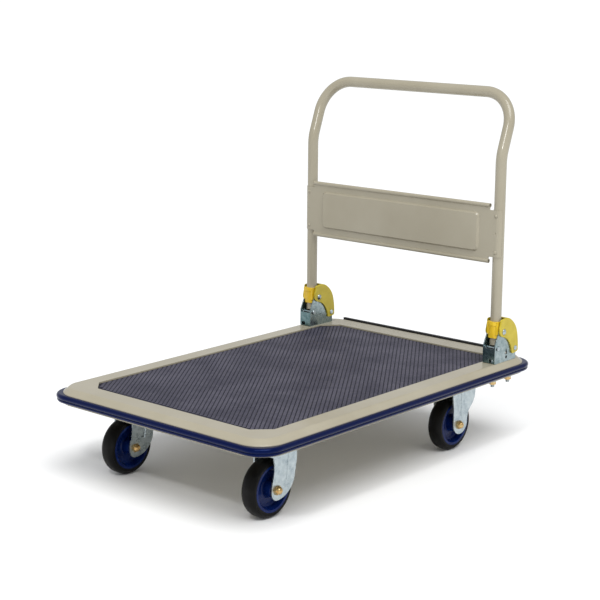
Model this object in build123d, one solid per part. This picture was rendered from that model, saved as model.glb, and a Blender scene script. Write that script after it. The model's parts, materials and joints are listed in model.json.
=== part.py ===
from build123d import *
from math import asin, cos, radians, sin, sqrt, tan
import os

# Folding platform cart. +X points forward, away from the handle; +Y is the cart's left;
# +Z is up. The origin is on the floor, under the middle of the deck. Millimetres.

# ---- deck -------------------------------------------------------------------------------
DECK_LENGTH = 896.0          # over the bumper
DECK_WIDTH = 596.0
BUMPER_CORNER = 50.0         # corner radius of the bumper's outside, in plan
PAN_CORNER = 64.0            # the pan's corner is rounder: radius of a line at the outside
BUMPER_DEPTH = 8.0           # from the pan's skirt to the outside of the bumper
BUMPER_TOP = 178.6
BUMPER_BOTTOM = 162.0
BUMPER_GROOVE = 168.5
BUMPER_FILL = 34.0           # the bumper reaches this far in at its corners
SKIRT_BOTTOM = 158.5
RIM_TOP = 190.0              # flat top of the pan's raised rim
RIM_SHOULDER = 180.0         # where the rim's slope meets the skirt
RIM_SLOPE_INSET = 21.0       # the slope starts this far in from the outside
RIM_FLAT_INSET = 27.0
STRIP_HALF_LENGTH = 243.0    # rubber strip on the rear rim, between the brackets
STRIP_TOP = 193.0
PAN_SHEET = 1.6
MAT_TOP = 187.0
MAT_THICKNESS = 3.0
MAT_FRONT = 388.0            # X of the mat's front edge
MAT_REAR = -377.5
MAT_HALF_WIDTH = 241.5
MAT_CORNER_CUT = 33.0        # cropped corners, at 45 degrees

# ---- cross members under the pan ---------------------------------------------------------
MEMBER_SHEET = 3.0
MEMBER_BOTTOM = 156.0        # the casters bolt up against this face

# ---- handle ------------------------------------------------------------------------------
TUBE_RADIUS = 12.0
TUBE_WALL = 1.6
LEG_X = -335.0               # axis of both legs
LEG_Y = 261.0
FOOT_Z = 203.0
KINK_Z = 635.0               # the legs bend back here
TOP_BAR_Z = 764.5
LEAN_BACK = 20.0             # degrees, above the kink
KINK_RADIUS = 90.0
HANDLE_CORNER_RADIUS = 74.0

# ---- push panel --------------------------------------------------------------------------
PANEL_SHEET = 1.2
PANEL_BOTTOM = 407.0
PANEL_TOP = 536.0
PANEL_HALF_LENGTH = 245.5
CURL_RADIUS = 4.5            # rolled top and bottom edges
CURL_PROUD = 3.4             # the rolls stand this far in front of the sheet
EMBOSS_HALF_LENGTH = 219.0
EMBOSS_BOTTOM = 428.5
EMBOSS_TOP = 515.0
EMBOSS_RISE = 4.4
TAB_BOTTOM = 421.0
TAB_TOP = 522.0
TAB_WRAP = 62.0              # degrees each side of the leg's front
RIVET_HEIGHTS = (431.0, 510.0)

# ---- handle brackets ---------------------------------------------------------------------
PIVOT_X = -340.0
PIVOT_Z = 258.0
PIVOT_PIN_RADIUS = 4.0
BRACKET_SHEET = 2.5
BRACKET_GAP = 13.2           # leg axis to the inside of each side plate
BRACKET_FRONT = 28.0         # side plate, from the pivot towards +X
BRACKET_REAR = -52.0
WEB_TOP = 223.0              # front web of the bracket
LOCK_PIN_RADIUS = 3.5
LOCK_PIN = (16.0, -35.0)     # from the pivot: X, Z
LOCK_TRAVEL = 4.0
TAIL_PIN_RADIUS = 3.5
TAIL_PIN = (-45.0, -43.0)    # from the pivot: X, Z
BOLT_X = (-326.0, -384.0)
BOLT_Y = 264.0
BOLT_TIP_Z = 136.0

# ---- lock lever --------------------------------------------------------------------------
LEVER_WALL = 2.8
LEVER_GAP = 0.4              # between the lever's cheeks and the bracket

# ---- wheels and casters ------------------------------------------------------------------
WHEEL_RADIUS = 59.0
TYRE_HALF_WIDTH = 16.5
TYRE_BORE = 46.5
RIM_HALF_WIDTH = 16.7
REAR_WHEEL_Y = 201.5
FRONT_WHEEL_Y = 195.0        # the swivel casters sit a little further in
FRONT_AXLE_X = 325.0
REAR_AXLE_X = -255.0
KINGPIN_X = 298.0            # front casters swivel here
FORK_SHEET = 3.0
FORK_GAP = 24.0              # wheel centre to the inside of each fork arm
FORK_CROWN_TOP = 134.0
AXLE_RADIUS = 5.0
SLEEVE_RADIUS = 7.5
HUB_RADIUS = 16.0
HUB_HALF_WIDTH = 22.0
BEARING_RADIUS = 13.0
BEARING_WIDTH = 9.0
CASTER_PLATE = 3.0
CASTER_PLATE_HALF = (50.0, 45.0)
CASTER_BOLT_PITCH = (80.0, 70.0)
RACE_BALL_RADIUS = 3.0
RACE_RADIUS = 21.0
RACE_BALLS = 16

RUNNING = 0.06               # radial clearance of a running fit
CLEAR = 0.3

half_length = DECK_LENGTH / 2
half_width = DECK_WIDTH / 2
kink_to_top = TOP_BAR_Z - KINK_Z
top_bar_x = LEG_X - kink_to_top * tan(radians(LEAN_BACK))
SIDES = (("left", 1), ("right", -1))


# ---- helpers -----------------------------------------------------------------------------
def block(x0, x1, y0, y1, z0, z1):
    """A box between two corners."""
    return Pos((x0 + x1) / 2, (y0 + y1) / 2, (z0 + z1) / 2) * Box(x1 - x0, y1 - y0, z1 - z0)


def rod_y(x, z, radius, y0, y1):
    """A round bar along Y."""
    bar = Rot(90, 0, 0) * Cylinder(radius, abs(y1 - y0))
    return Pos(x, (y0 + y1) / 2, z) * bar


def rod_z(x, y, radius, z0, z1):
    """A round bar along Z."""
    return Pos(x, y, (z0 + z1) / 2) * Cylinder(radius, abs(z1 - z0))


def slab(face, y0, y1):
    """Extrude a face drawn in X and Z from y0 to y1."""
    low, high = min(y0, y1), max(y0, y1)
    return extrude(Plane.XZ.offset(-high) * face, amount=high - low)


def spin_y(face, x, y, z):
    """Turn a section, drawn as distance from the axis and place along Y, about an axis along Y."""
    plane = Plane(origin=(x, y, z), x_dir=(1, 0, 0), z_dir=(0, 0, 1))
    return revolve(plane * face, Axis((x, y, z), (0, 1, 0)), 360)


def hexagon_prism(flats, height):
    return extrude(RegularPolygon(flats / 2, 6, major_radius=False), amount=height)


def dome(radius, height):
    """A round-topped head standing on the XY plane."""
    ball = (radius ** 2 + height ** 2) / (2 * height)
    half_turn = asin(radius / ball) / 2
    middle = (ball * sin(half_turn), height - ball + ball * cos(half_turn))
    edges = [Line((0, 0), (radius, 0)), ThreePointArc((radius, 0), middle, (0, height)),
             Line((0, height), (0, 0))]
    return revolve(Plane.XZ * make_face(Wire(edges)), Axis.Z, 360)


def around_deck(section, corner_radius):
    """Run a section around the deck's edge: x is the inset from the outside, negated, y is height."""
    straight_x = half_length - corner_radius
    straight_y = half_width - corner_radius
    outwards = Pos(corner_radius, 0) * section
    long_plane = Plane(origin=(-straight_x, straight_y, 0), x_dir=(0, 1, 0), z_dir=(1, 0, 0))
    long_side = extrude(long_plane * outwards, amount=2 * straight_x)
    end_plane = Plane(origin=(straight_x, straight_y, 0), x_dir=(1, 0, 0), z_dir=(0, -1, 0))
    end_side = extrude(end_plane * outwards, amount=2 * straight_y)
    corner_axis = Axis((straight_x, straight_y, 0), (0, 0, 1))
    corner = revolve(end_plane * outwards, corner_axis, 90)
    sides = [long_side, mirror(long_side, Plane.XZ), end_side, mirror(end_side, Plane.YZ)]
    corners = [corner, mirror(corner, Plane.XZ), mirror(corner, Plane.YZ)]
    corners.append(mirror(corners[1], Plane.YZ))
    return Part() + sides + corners


def both_sides(piece):
    """A piece and its mirror image across the cart's middle, as two solids."""
    return [piece, mirror(piece, Plane.XZ)]


def save(name, *pieces):
    """Write one node: every solid of its pieces, kept apart."""
    solids = [solid for piece in pieces for solid in piece.solids()]
    if not solids:
        raise ValueError(name + " has no solid")
    shape = solids[0] if len(solids) == 1 else Compound(children=solids)
    shape.label = name
    export_step(shape, "parts/" + name + ".step")


# ---- deck --------------------------------------------------------------------------------
def mat_outline(grow):
    """The mat's cropped rectangle, grown outwards by a distance."""
    front, rear, side = MAT_FRONT + grow, MAT_REAR - grow, MAT_HALF_WIDTH + grow
    cut = MAT_CORNER_CUT + grow * (2 - sqrt(2))
    quarter = [(front, side - cut), (front - cut, side), (rear + cut, side), (rear, side - cut)]
    points = quarter + [(x, -y) for x, y in reversed(quarter)]
    face = make_face(Polyline(*points, close=True))
    return fillet(face.vertices(), 6.0 + grow)


def deck_rectangle(inset):
    """The pan's outline in plan, at an inset from the bumper's outside."""
    return RectangleRounded(DECK_LENGTH - 2 * inset, DECK_WIDTH - 2 * inset, PAN_CORNER - inset)


def make_pan():
    """Pressed steel pan: a tray for the mat, a raised rim, a sloped edge and a skirt."""
    skirt, slope, flat, sheet = -BUMPER_DEPTH, -RIM_SLOPE_INSET, -RIM_FLAT_INSET, PAN_SHEET
    edge = make_face(Polyline(
        (skirt, SKIRT_BOTTOM), (skirt, RIM_SHOULDER), (slope, RIM_TOP), (flat, RIM_TOP),
        (flat, RIM_TOP - sheet), (slope, RIM_TOP - sheet),
        (skirt - sheet, RIM_SHOULDER - sheet * 0.8), (skirt - sheet, SKIRT_BOTTOM), close=True))
    shoulder = edge.vertices().sort_by_distance((skirt, RIM_SHOULDER))[0]
    edge = fillet(shoulder, 3.0)
    crease = edge.vertices().sort_by_distance((slope, RIM_TOP))[0]
    edge = fillet(crease, 6.0)
    top = Pos(0, 0, RIM_TOP - sheet) * extrude(deck_rectangle(RIM_FLAT_INSET), amount=sheet)
    pan = around_deck(edge, PAN_CORNER) + top
    tray_top = MAT_TOP - MAT_THICKNESS
    tray = extrude(mat_outline(sheet), amount=RIM_TOP - tray_top + sheet)
    tray = Pos(0, 0, tray_top - sheet) * tray
    pocket = Pos(0, 0, tray_top) * extrude(mat_outline(0), amount=RIM_TOP)
    lip = (pan + tray) - pocket
    for bolt_y in (BOLT_Y, -BOLT_Y):
        for bolt_x in BOLT_X:
            lip -= rod_z(bolt_x, bolt_y, 4.0, SKIRT_BOTTOM, RIM_TOP + 1)
    return lip


def make_mat():
    mat = extrude(mat_outline(-0.4), amount=MAT_THICKNESS)
    return Pos(0, 0, MAT_TOP - MAT_THICKNESS) * mat


def make_bumper():
    """Moulded edge strip: a full upper roll, a fine groove and a smaller lower roll."""
    inner, groove = -BUMPER_FILL, BUMPER_GROOVE
    upper = ThreePointArc((-1.2, groove + 0.6), (0.0, groove + 5.0), (-5.0, BUMPER_TOP))
    top = Line((-5.0, BUMPER_TOP), (inner, BUMPER_TOP))
    back = Line((inner, BUMPER_TOP), (inner, BUMPER_BOTTOM))
    under = Line((inner, BUMPER_BOTTOM), (-4.5, BUMPER_BOTTOM))
    lower = ThreePointArc((-4.5, BUMPER_BOTTOM), (-1.4, groove - 4.0), (-1.4, groove - 0.6))
    groove_in = Line((-1.4, groove - 0.6), (-2.6, groove))
    groove_out = Line((-2.6, groove), (-1.2, groove + 0.6))
    section = make_face(Wire([upper, top, back, under, lower, groove_in, groove_out]))
    pan_side = extrude(deck_rectangle(BUMPER_DEPTH), amount=RIM_TOP)
    return around_deck(section, BUMPER_CORNER) - pan_side


def make_rear_strip():
    """Grooved rubber strip standing on the slope of the rear rim, between the brackets."""
    rear, front = BUMPER_DEPTH - half_length, BUMPER_DEPTH + 8.0 - half_length
    rise = 8.0 * (RIM_TOP - RIM_SHOULDER) / (RIM_SLOPE_INSET - BUMPER_DEPTH)
    foot = RIM_SHOULDER + rise + CLEAR
    heel = RIM_SHOULDER + rise / 8.0 + CLEAR
    middle = (foot + STRIP_TOP) / 2
    section = Polyline(
        (rear + 1.0, heel), (front, foot), (front, middle - 1.0),
        (front - 1.2, middle - 0.6), (front - 1.2, middle + 0.6), (front, middle + 1.0),
        (front, STRIP_TOP - 1.0), (front - 1.0, STRIP_TOP), (rear + 2.0, STRIP_TOP),
        (rear + 1.0, STRIP_TOP - 1.0), close=True)
    return slab(make_face(section), -STRIP_HALF_LENGTH, STRIP_HALF_LENGTH)


def make_cross_member(x, flange_holes):
    """Hat channel across the pan's underside; the casters bolt to its flat bottom."""
    sheet, foot, half = MEMBER_SHEET, 14.0, 58.0
    high = MAT_TOP - MAT_THICKNESS - PAN_SHEET
    outer = Polyline(
        (-half - foot, high), (-half - foot, high - sheet), (-half, high - sheet),
        (-half, MEMBER_BOTTOM), (half, MEMBER_BOTTOM), (half, high - sheet),
        (half + foot, high - sheet), (half + foot, high), (half - sheet, high),
        (half - sheet, MEMBER_BOTTOM + sheet), (-half + sheet, MEMBER_BOTTOM + sheet),
        (-half + sheet, high), close=True)
    length = 2 * (MAT_HALF_WIDTH - 4)
    member = Pos(x, 0, 0) * slab(make_face(outer), -length / 2, length / 2)
    for hole_x, hole_y in flange_holes:
        member -= rod_z(hole_x, hole_y, 4.0, MEMBER_BOTTOM - 1, MEMBER_BOTTOM + sheet + 1)
    return member


def make_bracket_support():
    """Block-shaped channel under the rim that takes the left bracket's two bolts."""
    low, high = 150.0, RIM_TOP - PAN_SHEET
    x0, x1, y0, y1 = BOLT_X[1] - 12, BOLT_X[0] + 20, BOLT_Y - 17.0, BOLT_Y + 8.0
    support = block(x0, x1, y0, y1, low, high)
    support -= block(x0 - 1, x1 + 1, y0 + 3, y1 - 3, low + 3, high + 1)
    for x in BOLT_X:
        support -= rod_z(x, BOLT_Y, 4.0, low - 1, low + 4)
    return support


# ---- casters -----------------------------------------------------------------------------
def caster_bolt_places(x, y):
    """The four bolt places of a caster's top plate."""
    dx, dy = CASTER_BOLT_PITCH[0] / 2, CASTER_BOLT_PITCH[1] / 2
    return [(x + sx * dx, y + sy * dy) for sx in (-1, 1) for sy in (-1, 1)]


def drill(plate, places, radius, z0, z1):
    for x, y in places:
        plate -= rod_z(x, y, radius, z0, z1)
    return plate


def make_swivel_plate(y):
    """Top plate of a swivel caster, pressed down in the middle to form the upper ball race."""
    z1, z0 = MEMBER_BOTTOM, MEMBER_BOTTOM - CASTER_PLATE
    half_x, half_y = CASTER_PLATE_HALF
    plate = extrude(RectangleRounded(2 * half_x, 2 * half_y, 8), amount=CASTER_PLATE)
    plate = Pos(KINGPIN_X, y, z0) * plate
    cup_low = FORK_CROWN_TOP + 2 * RACE_BALL_RADIUS + 1.2
    plate += rod_z(KINGPIN_X, y, RACE_RADIUS + 7, cup_low, z0)
    race = Pos(KINGPIN_X, y, FORK_CROWN_TOP + RACE_BALL_RADIUS + 0.6)
    plate -= race * Torus(RACE_RADIUS, RACE_BALL_RADIUS + CLEAR)
    plate -= rod_z(KINGPIN_X, y, 6.0, cup_low - 1, z1 + 1)
    plate -= rod_z(KINGPIN_X, y, 12.0, z1 - 5.5, z1 + 1)
    return drill(plate, caster_bolt_places(KINGPIN_X, y), 4.0, z0 - 1, z1 + 1)


def make_kingpin(y):
    """Headed pin, fixed in the top plate, that the fork's crown hangs and turns on."""
    pin = rod_z(KINGPIN_X, y, 6.0, FORK_CROWN_TOP - FORK_SHEET - 1.2, MEMBER_BOTTOM - 5.5)
    pin += rod_z(KINGPIN_X, y, 12.0, MEMBER_BOTTOM - 5.5, MEMBER_BOTTOM - 0.5)
    head_top = FORK_CROWN_TOP - FORK_SHEET - 0.6
    pin += rod_z(KINGPIN_X, y, 10.5, head_top - 4.5, head_top)
    return fillet(pin.edges().group_by(Axis.Z)[0], 2.0)


def make_race_balls(y):
    """The ring of balls between the top plate and the fork."""
    z = FORK_CROWN_TOP + RACE_BALL_RADIUS + 0.6
    balls = []
    for index in range(RACE_BALLS):
        turn = radians(360 * index / RACE_BALLS)
        place = Pos(KINGPIN_X + RACE_RADIUS * cos(turn), y + RACE_RADIUS * sin(turn), z)
        balls.append(place * Sphere(RACE_BALL_RADIUS))
    return balls


def fork_arm_pair(outline, y):
    """Two flat arms of one fork, either side of the wheel."""
    inner, outer = FORK_GAP, FORK_GAP + FORK_SHEET
    return slab(outline, y + inner, y + outer) + slab(outline, y - outer, y - inner)


def swivel_arm_outline():
    """Side view of a swivel fork's arm: the axle sits near its leading lower corner."""
    x, z = FRONT_AXLE_X, WHEEL_RADIUS
    edge = [
        Line((x + 8, FORK_CROWN_TOP), (x + 8, z + 36)),
        Spline((x + 8, z + 36), (x + 11, z + 22), (x + 14.5, z + 8), (x + 15, z - 5)),
        ThreePointArc((x + 15, z - 5), (x + 10, z - 16.5), (x - 2, z - 20.5)),
        Spline((x - 2, z - 20.5), (x - 17, z - 18), (x - 37, z - 6), (x - 49, z + 14)),
        Line((x - 49, z + 14), (x - 56, z + 50)),
        Line((x - 56, z + 50), (x - 56, FORK_CROWN_TOP)),
        Line((x - 56, FORK_CROWN_TOP), (x + 8, FORK_CROWN_TOP))]
    return make_face(Wire(edge))


def arm_rib(x, z0, z1, lean, face_y):
    """Pressed stiffening rib, half sunk in the outer face of a fork arm."""
    rib = Box(5.0, 2.4, z1 - z0)
    rib = fillet(rib.edges().filter_by(Axis.Z), 1.0)
    return Pos(x, face_y, (z0 + z1) / 2) * Rot(0, lean, 0) * rib


def make_swivel_fork(y):
    """Pressed fork of a swivel caster: crown with the lower ball race, and two arms."""
    arms = fork_arm_pair(swivel_arm_outline(), y)
    half = FORK_GAP + FORK_SHEET
    front, rear = FRONT_AXLE_X + 8, FRONT_AXLE_X - 56
    low = FORK_CROWN_TOP - FORK_SHEET
    crown = block(rear, front, y - half, y + half, low, FORK_CROWN_TOP)
    crown += rod_z(KINGPIN_X, y, RACE_RADIUS + 7, low, FORK_CROWN_TOP)
    fork = arms + crown
    for x in (front - FORK_SHEET, rear):
        fork += block(x, x + FORK_SHEET, y - half, y + half, low - 8, low)
    for side in (-1, 1):
        fork += arm_rib(FRONT_AXLE_X - 31, 74, FORK_CROWN_TOP - 6, -7, y + side * half)
    fork -= rod_z(KINGPIN_X, y, 6.0 + RUNNING, low - 1, FORK_CROWN_TOP + 1)
    race = Pos(KINGPIN_X, y, FORK_CROWN_TOP + RACE_BALL_RADIUS + 0.6)
    fork -= race * Torus(RACE_RADIUS, RACE_BALL_RADIUS + 0.9)
    return fork - rod_y(FRONT_AXLE_X, WHEEL_RADIUS, AXLE_RADIUS, y - 40, y + 40)


def fixed_arm_outline():
    """Side view of a fixed fork's arm: rounded foot, flaring towards the handle end."""
    x, z, top = REAR_AXLE_X, WHEEL_RADIUS, MEMBER_BOTTOM - CASTER_PLATE
    edge = [
        Line((x + 26, top), (x + 19.5, z + 36)),
        Line((x + 19.5, z + 36), (x + 19.5, z + 8)),
        ThreePointArc((x + 19.5, z + 8), (x - 4.5, z - 21.5), (x - 29.5, z + 6)),
        Line((x - 29.5, z + 6), (x - 33, z + 22)),
        Spline((x - 33, z + 22), (x - 41, z + 31), (x - 49, z + 39), (x - 57, z + 53)),
        Line((x - 57, z + 53), (x - 63, top)),
        Line((x - 63, top), (x + 26, top))]
    return make_face(Wire(edge))


def make_fixed_fork(y):
    """Fork of a fixed caster: top plate, two flared arms and a pressed rib on each."""
    arms = fork_arm_pair(fixed_arm_outline(), y)
    half_x, half_y = CASTER_PLATE_HALF
    plate_x = REAR_AXLE_X - 15
    plate = extrude(RectangleRounded(2 * half_x, 2 * half_y, 8), amount=CASTER_PLATE)
    fork = arms + Pos(plate_x, y, MEMBER_BOTTOM - CASTER_PLATE) * plate
    for side in (-1, 1):
        face_y = y + side * (FORK_GAP + FORK_SHEET)
        fork += arm_rib(REAR_AXLE_X - 9, 78, 146, 0, face_y)
    places = caster_bolt_places(plate_x, y)
    fork = drill(fork, places, 4.0, MEMBER_BOTTOM - CASTER_PLATE - 1, MEMBER_BOTTOM + 1)
    return fork - rod_y(REAR_AXLE_X, WHEEL_RADIUS, AXLE_RADIUS, y - 40, y + 40)


def make_axle_sleeve(x, y):
    """Tube that the wheel's bearings run on, clamped between the fork arms."""
    sleeve = rod_y(x, WHEEL_RADIUS, SLEEVE_RADIUS, y - FORK_GAP, y + FORK_GAP)
    return sleeve - rod_y(x, WHEEL_RADIUS, AXLE_RADIUS, y - FORK_GAP - 1, y + FORK_GAP + 1)


def make_axle_bolt(x, y):
    """Axle bolt, its head on the cart's right and its thread on the cart's left."""
    outer = FORK_GAP + FORK_SHEET
    head = Pos(x, y - outer, WHEEL_RADIUS) * Rot(90, 0, 0) * hexagon_prism(16.0, 6.0)
    shank = rod_y(x, WHEEL_RADIUS, AXLE_RADIUS, y - outer, y + outer + 6.0)
    return shank + head


def make_cap_nut(x, y):
    """Domed nut on the axle bolt."""
    outer, flats, hex_height, cap = FORK_GAP + FORK_SHEET, 16.5, 3.6, 8.2
    nut = Pos(x, y + outer, WHEEL_RADIUS) * Rot(-90, 0, 0) * hexagon_prism(flats, hex_height)
    nut += Pos(x, y + outer + hex_height, WHEEL_RADIUS) * Rot(-90, 0, 0) * dome(cap, cap - 0.6)
    return nut - rod_y(x, WHEEL_RADIUS, AXLE_RADIUS, y + outer - 1, y + outer + 6.0)


def make_wheel_hub(x, y):
    """Moulded wheel centre: rim with rolled lips, dished web and a boss for two bearings."""
    lip, rim, web, boss = TYRE_BORE, RIM_HALF_WIDTH, 3.2, HUB_RADIUS
    half = HUB_HALF_WIDTH
    right_half = [
        (BEARING_RADIUS, 0), (BEARING_RADIUS, half), (boss - 1.0, half), (boss, half - 1.0),
        (boss + 1.5, web + 1.5), (boss + 4.0, web), (33.0, web), (36.5, web + 2.0),
        (40.5, rim - 2.4), (41.5, rim), (lip, rim)]
    points = right_half + [(r, -v) for r, v in reversed(right_half[1:])]
    profile = make_face(Polyline(*points, close=True))
    hub = spin_y(profile, x, y, WHEEL_RADIUS)
    seat = half - BEARING_WIDTH
    shoulder = rod_y(x, WHEEL_RADIUS, BEARING_RADIUS, y - seat, y + seat)
    return hub + (shoulder - rod_y(x, WHEEL_RADIUS, SLEEVE_RADIUS + 1.5, y - half, y + half))


def make_bearings(x, y):
    """The wheel's two sealed bearings, one at each end of the boss."""
    rings = []
    for low, high in ((-HUB_HALF_WIDTH, BEARING_WIDTH - HUB_HALF_WIDTH),
                      (HUB_HALF_WIDTH - BEARING_WIDTH, HUB_HALF_WIDTH)):
        ring = rod_y(x, WHEEL_RADIUS, BEARING_RADIUS, y + low, y + high)
        rings.append(ring - rod_y(x, WHEEL_RADIUS, SLEEVE_RADIUS + RUNNING, y - 30, y + 30))
    return rings


def make_tyre(x, y):
    """Solid rubber tyre with round shoulders."""
    wide, radius = TYRE_HALF_WIDTH, WHEEL_RADIUS
    tread = [
        Line((TYRE_BORE, -wide), (TYRE_BORE, wide)),
        Line((TYRE_BORE, wide), (TYRE_BORE + 1.5, wide)),
        Spline((TYRE_BORE + 1.5, wide), (TYRE_BORE + 7, wide - 1.0), (radius - 1.3, wide - 6.5),
               (radius, 0), (radius - 1.3, 6.5 - wide), (TYRE_BORE + 7, 1.0 - wide),
               (TYRE_BORE + 1.5, -wide)),
        Line((TYRE_BORE + 1.5, -wide), (TYRE_BORE, -wide))]
    return spin_y(make_face(Wire(tread)), x, y, WHEEL_RADIUS)


def make_caster_bolts(places):
    """Bolts of the top plates, heads underneath, and the nuts inside the cross members."""
    bolts, nuts = [], []
    low, high = MEMBER_BOTTOM - CASTER_PLATE, MEMBER_BOTTOM + MEMBER_SHEET
    for x, y in places:
        head = Pos(x, y, low - 5.0) * hexagon_prism(13.0, 5.0)
        bolts.append(head + rod_z(x, y, 4.0, low - 1, high + 10.0))
        nut = Pos(x, y, high) * hexagon_prism(13.0, 6.5)
        nuts.append(nut - rod_z(x, y, 4.0, high - 1, high + 8))
    return bolts, nuts


# ---- handle ------------------------------------------------------------------------------
def handle_path(foot_z):
    """Centre line of the handle from the right foot over the top to the left foot."""
    points = [(LEG_X, -LEG_Y, foot_z), (LEG_X, -LEG_Y, KINK_Z), (top_bar_x, -LEG_Y, TOP_BAR_Z)]
    points += [(x, -y, z) for x, y, z in reversed(points)]
    bends = [KINK_RADIUS, HANDLE_CORNER_RADIUS, HANDLE_CORNER_RADIUS, KINK_RADIUS]
    return FilletPolyline(*points, radius=bends)


def make_handle_tube():
    """Bent tube, with a cross hole for the pivot and a notch for the lock pin in each foot."""
    foot = Plane(origin=(LEG_X, -LEG_Y, FOOT_Z), z_dir=(0, 0, 1))
    path = handle_path(FOOT_Z)
    tube = sweep(foot * Circle(TUBE_RADIUS), path) - sweep(foot * Circle(TUBE_RADIUS - TUBE_WALL), path)
    lock_x, lock_z = PIVOT_X + LOCK_PIN[0], PIVOT_Z + LOCK_PIN[1]
    for side in (-1, 1):
        y = side * LEG_Y
        tube -= rod_y(PIVOT_X, PIVOT_Z, PIVOT_PIN_RADIUS + RUNNING, y - 15, y + 15)
        tube -= block(lock_x - LOCK_PIN_RADIUS - 0.8, lock_x + 10, y - 15, y + 15,
                      lock_z - LOCK_PIN_RADIUS - 0.8, lock_z + LOCK_PIN_RADIUS + 2.5)
        for z in RIVET_HEIGHTS:
            tube -= Pos(LEG_X + TUBE_RADIUS, y, z) * Rot(0, 90, 0) * Cylinder(2.4, 12)
    return tube


def make_leg_plug(y):
    """Plastic plug in the open foot of a leg."""
    inner = TUBE_RADIUS - TUBE_WALL
    plug = rod_z(LEG_X, y, inner, FOOT_Z, FOOT_Z + 10)
    return plug + rod_z(LEG_X, y, TUBE_RADIUS - 0.4, FOOT_Z - 1.6, FOOT_Z)


def make_panel():
    """Push panel: flat sheet with rolled edges, a raised middle and a tab round each leg."""
    back = LEG_X + TUBE_RADIUS + 0.05
    front = back + PANEL_SHEET
    low, high = PANEL_BOTTOM + CURL_RADIUS, PANEL_TOP - CURL_RADIUS
    half = PANEL_HALF_LENGTH
    panel = block(back, front, -half, half, low, high)
    middle_z, emboss_height = (EMBOSS_BOTTOM + EMBOSS_TOP) / 2, EMBOSS_TOP - EMBOSS_BOTTOM
    facing = Plane(origin=(front, 0, middle_z), x_dir=(0, 1, 0), z_dir=(1, 0, 0))
    raised = RectangleRounded(2 * EMBOSS_HALF_LENGTH, emboss_height, 12)
    inside = RectangleRounded(2 * EMBOSS_HALF_LENGTH - 2.4, emboss_height - 2.4, 10.8)
    panel += extrude(facing * raised, amount=EMBOSS_RISE, taper=42)
    panel -= extrude(facing.offset(-PANEL_SHEET) * inside, amount=EMBOSS_RISE, taper=42)
    for z in (low, high):
        centre = (front + CURL_PROUD - CURL_RADIUS, z)
        curl = rod_y(*centre, CURL_RADIUS, -half, half)
        panel += curl - rod_y(*centre, CURL_RADIUS - PANEL_SHEET, -half - 1, half + 1)
        panel -= rod_y(*centre, CURL_RADIUS - PANEL_SHEET, -half - 1, half + 1)
    for side in (-1, 1):
        y = side * LEG_Y
        outer = rod_z(LEG_X, y, front - LEG_X, TAB_BOTTOM, TAB_TOP)
        sleeve = outer - rod_z(LEG_X, y, back - LEG_X, TAB_BOTTOM - 1, TAB_TOP + 1)
        reach = TUBE_RADIUS * cos(radians(TAB_WRAP))
        keep = block(LEG_X + reach, LEG_X + 30, y - 30, y + 30, TAB_BOTTOM - 1, TAB_TOP + 1)
        tongue = block(back, front, min(side * (half - 8), y), max(side * (half - 8), y),
                       TAB_BOTTOM, TAB_TOP)
        panel += (sleeve & keep) + tongue
        for z in RIVET_HEIGHTS:
            panel -= Pos(front, y, z) * Rot(0, 90, 0) * Cylinder(2.4, 12)
        panel -= Pos(front + 2.9, y, (TAB_BOTTOM + TAB_TOP) / 2) * Sphere(4.0)
    return panel


def make_panel_rivets():
    """Dome-headed rivets through the panel's tabs into the legs."""
    front = LEG_X + TUBE_RADIUS + 0.05 + PANEL_SHEET
    rivets = []
    for y in (LEG_Y, -LEG_Y):
        for z in RIVET_HEIGHTS:
            rivet = Pos(front, y, z) * Rot(0, 90, 0) * dome(4.4, 2.2)
            rivet += Pos(front - 3.0, y, z) * Rot(0, 90, 0) * Cylinder(2.4, 6.5)
            rivets.append(rivet)
    return rivets


# ---- handle brackets ---------------------------------------------------------------------
def from_pivot(*offsets):
    """Points given as X and Z offsets from the handle's pivot."""
    return [(PIVOT_X + u, PIVOT_Z + w) for u, w in offsets]


def bracket_plate_outline():
    """Side plate: upright front, slope up to the pivot, cam edge behind, and a rear shoulder."""
    floor = RIM_TOP - PIVOT_Z
    shoulder = TAIL_PIN[1] - TAIL_PIN_RADIUS - CLEAR
    corners = from_pivot(
        (BRACKET_FRONT, floor), (BRACKET_FRONT, -29.0), (13.0, 2.0), (6.0, 12.0), (-8.0, 12.0),
        (-30.0, 4.0), (-41.0, -14.0), (-41.0, -30.0), (-31.0, shoulder),
        (BRACKET_REAR, shoulder), (BRACKET_REAR, floor))
    face = make_face(Polyline(*corners, close=True))
    rounded = face.vertices().filter_by(lambda v: abs(v.Y - RIM_TOP) > 1 and
                                        abs(v.Y - PIVOT_Z - shoulder) > 1)
    return fillet(rounded, 5.0)


def slot_face(u, w, radius, travel):
    """A slot with round ends, as long as a pin's travel along X."""
    slot = SlotCenterToCenter(travel, 2 * radius)
    return Pos(PIVOT_X + u + travel / 2, PIVOT_Z + w) * slot


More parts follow.
